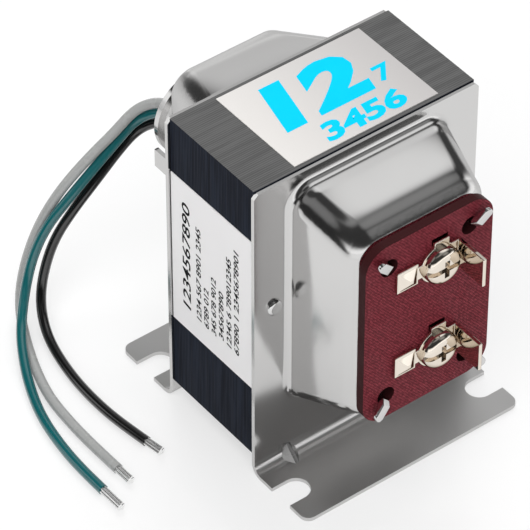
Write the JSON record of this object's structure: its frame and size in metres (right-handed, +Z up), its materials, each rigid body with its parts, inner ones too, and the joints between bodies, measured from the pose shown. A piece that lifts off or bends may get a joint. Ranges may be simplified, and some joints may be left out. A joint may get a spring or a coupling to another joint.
{
  "type": "doorbell transformer",
  "caption": "Laminated low-voltage doorbell transformer with pressed steel bells, bent mounting feet, a red terminal board and free mains leads.",
  "frame": {"origin": "under the middle of the core, on the surface that the feet stand on", "axes": "+Z up, -Y out of the terminal board, +Y out of the neck that the leads leave by"},
  "size_m": [0.0818, 0.0968, 0.0745],
  "materials": {
    "bright_steel": "satin zinc plating",
    "core_steel": "dark varnished laminations",
    "rivet_steel": "satin",
    "nickel": "bright nickel plating",
    "red_fibre": "fine fabric grain",
    "nylon": "moulded",
    "copper_wire": "enamelled",
    "yellow_tape": "polyester tape",
    "cutoff_metal": "satin",
    "sleeve_metal": "tinned",
    "black_moulding": "moulded",
    "inner_insulation": "glossy",
    "white_insulation": "glossy",
    "green_insulation": "glossy",
    "black_insulation": "glossy",
    "tinned_copper": "tinned",
    "white_label": "printed film",
    "silver_label": "printed silver film"
  },
  "bodies": {
    "root": {"front_frame": "bright_steel", "rear_frame": "bright_steel", "e_laminations": "core_steel", "i_laminations": "core_steel", "core_rivets": "rivet_steel", "bobbin": "nylon", "primary_winding": "copper_wire", "secondary_winding": "copper_wire", "primary_wrap": "yellow_tape", "secondary_wrap": "yellow_tape", "thermal_cutoff": "cutoff_metal", "splice_sleeves": "sleeve_metal", "inner_leads": "inner_insulation", "lead_bushing": "black_moulding", "terminal_board": "red_fibre", "upper_terminal": "nickel", "lower_terminal": "nickel", "upper_screw": "nickel", "lower_screw": "nickel", "secondary_tails": "copper_wire", "side_label": "white_label", "top_label": "silver_label", "white_lead": "white_insulation", "green_lead": "green_insulation", "black_lead": "black_insulation", "white_tip": "tinned_copper", "green_tip": "tinned_copper", "black_tip": "tinned_copper"}
  },
  "joints": []
}
